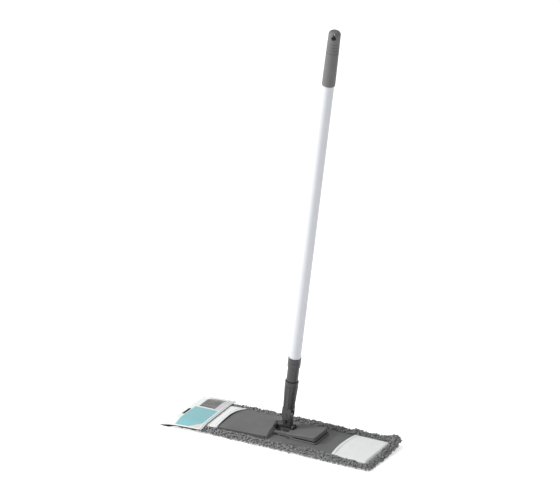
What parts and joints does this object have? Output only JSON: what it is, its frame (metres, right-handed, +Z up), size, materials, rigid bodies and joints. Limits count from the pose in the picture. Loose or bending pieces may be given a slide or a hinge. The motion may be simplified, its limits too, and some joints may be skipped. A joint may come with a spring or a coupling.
{
  "type": "flat mop",
  "caption": "Flat floor mop: two-wing folding frame in a microfibre pad, two-way tilting pole joint, telescopic twist-lock handle and a folded header card.",
  "frame": {"origin": "middle of the pad's sole, on the floor", "axes": "+X along the head's length, +Y to the back, +Z up"},
  "size_m": [0.4267, 0.136, 0.8276],
  "materials": {
    "frame_plastic": "satin moulded grey plastic",
    "joint_plastic": "satin moulded dark grey plastic",
    "grip_plastic": "satin moulded dark grey plastic",
    "tube_paint": "smooth pale grey paint",
    "steel": "bright drawn steel",
    "bush_plastic": "natural moulded plastic",
    "microfibre": "grey looped microfibre",
    "pocket_cloth": "white woven pocket cloth",
    "card": "printed coated card"
  },
  "bodies": {
    "frame": {"right_plate": "frame_plastic", "joint_base": "joint_plastic", "base_screws": "steel", "fold_pin": "steel", "pedal_pins": "steel", "pedal_spring": "steel", "yoke_pin": "steel", "pad_right": "microfibre", "fringe_right": "microfibre", "right_pocket": "pocket_cloth"},
    "left_wing": {"left_plate": "frame_plastic", "left_cover": "frame_plastic", "cover_screws": "steel", "pad_left": "microfibre", "fringe_left": "microfibre", "left_pocket": "pocket_cloth"},
    "pedal": {"pedal": "frame_plastic"},
    "yoke": {"yoke": "joint_plastic"},
    "socket": {"socket": "joint_plastic", "fork_pin": "joint_plastic", "inner_tube": "tube_paint", "socket_screw": "steel", "guide_bush": "bush_plastic"},
    "handle": {"outer_tube": "tube_paint", "tube_ferrule": "joint_plastic", "collet": "bush_plastic", "grip": "grip_plastic", "tube_plug": "bush_plastic"},
    "lock_collar": {"lock_collar": "joint_plastic"},
    "header_card": {"header_card": "card"}
  },
  "joints": [
    {"name": "wing_fold", "type": "hinge", "parent": "frame", "child": "left_wing", "pos_m": [-0.013, 0, 0.01], "axis": [0, -1, 0], "range_deg": [0, 80]},
    {"name": "pedal_press", "type": "hinge", "parent": "frame", "child": "pedal", "pos_m": [0.002, 0, 0.014], "axis": [0, 1, 0], "range_deg": [0, 5], "stiffness_Nm_per_rad": 2, "springref_deg": -5.73, "deforming": ["pedal_spring"]},
    {"name": "yoke_tilt", "type": "hinge", "parent": "frame", "child": "yoke", "pos_m": [0.008, 0, 0.0225], "axis": [1, 0, 0], "range_deg": [-70, 70]},
    {"name": "socket_tilt", "type": "hinge", "parent": "yoke", "child": "socket", "pos_m": [0.008, 0, 0.0455], "axis": [0, 1, 0], "range_deg": [-77, 63]},
    {"name": "handle_slide", "type": "slide", "parent": "socket", "child": "handle", "axis": [0.1219, 0, 0.9925], "range_m": [0, 0.42]},
    {"name": "collar_twist", "type": "hinge", "parent": "handle", "child": "lock_collar", "pos_m": [0.008, 0, 0.0455], "axis": [0.1219, 0, 0.9925], "range_deg": [0, 90]},
    {"name": "card_slide", "type": "slide", "parent": "left_wing", "child": "header_card", "axis": [-1, 0, 0], "range_m": [0, 0.12]}
  ]
}
